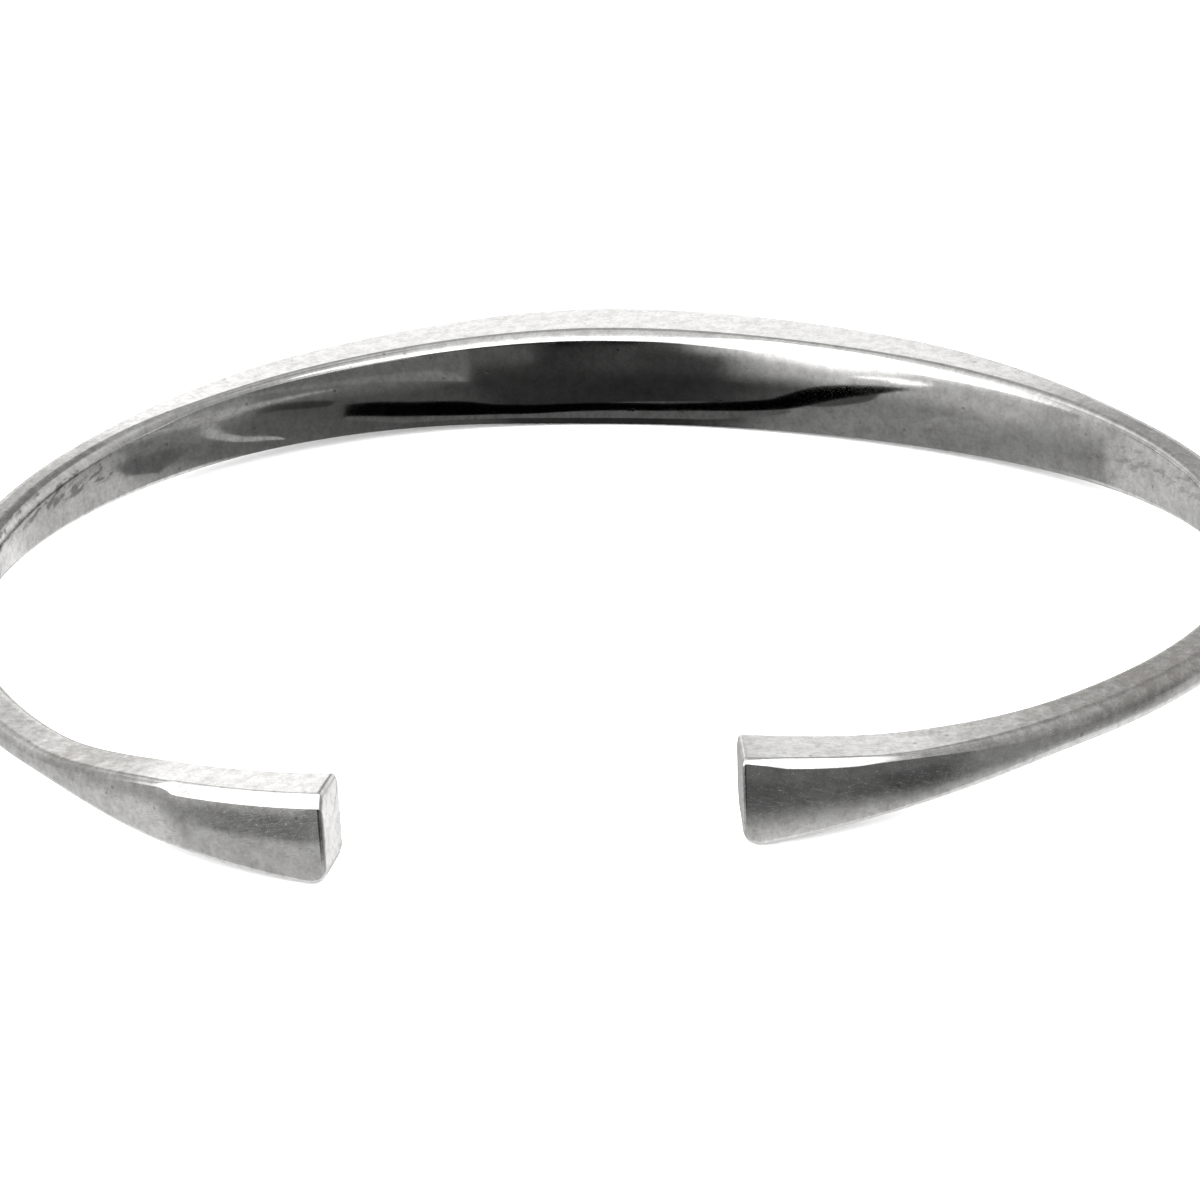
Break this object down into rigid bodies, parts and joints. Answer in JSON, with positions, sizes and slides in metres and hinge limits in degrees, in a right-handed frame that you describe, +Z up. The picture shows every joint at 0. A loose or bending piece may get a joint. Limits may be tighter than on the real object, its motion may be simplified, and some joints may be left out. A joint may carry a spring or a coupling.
{
  "type": "open cuff bangle",
  "caption": "Open cuff bangle: one solid bar bent to an oval, thick at the back, slim at the sides, with flared square-cut ends",
  "frame": {"origin": "on the surface that the bangle lies on, under the middle of its outline", "axes": "+Z up, the way the wrist goes through; +Y towards the thick back, so the gap between the ends faces -Y; +X to the right arm"},
  "size_m": [0.064, 0.0564, 0.0055],
  "materials": {
    "silver": "polished solid silver with fine wear scratches"
  },
  "bodies": {
    "root": {"cuff_bar": "silver"}
  },
  "joints": []
}
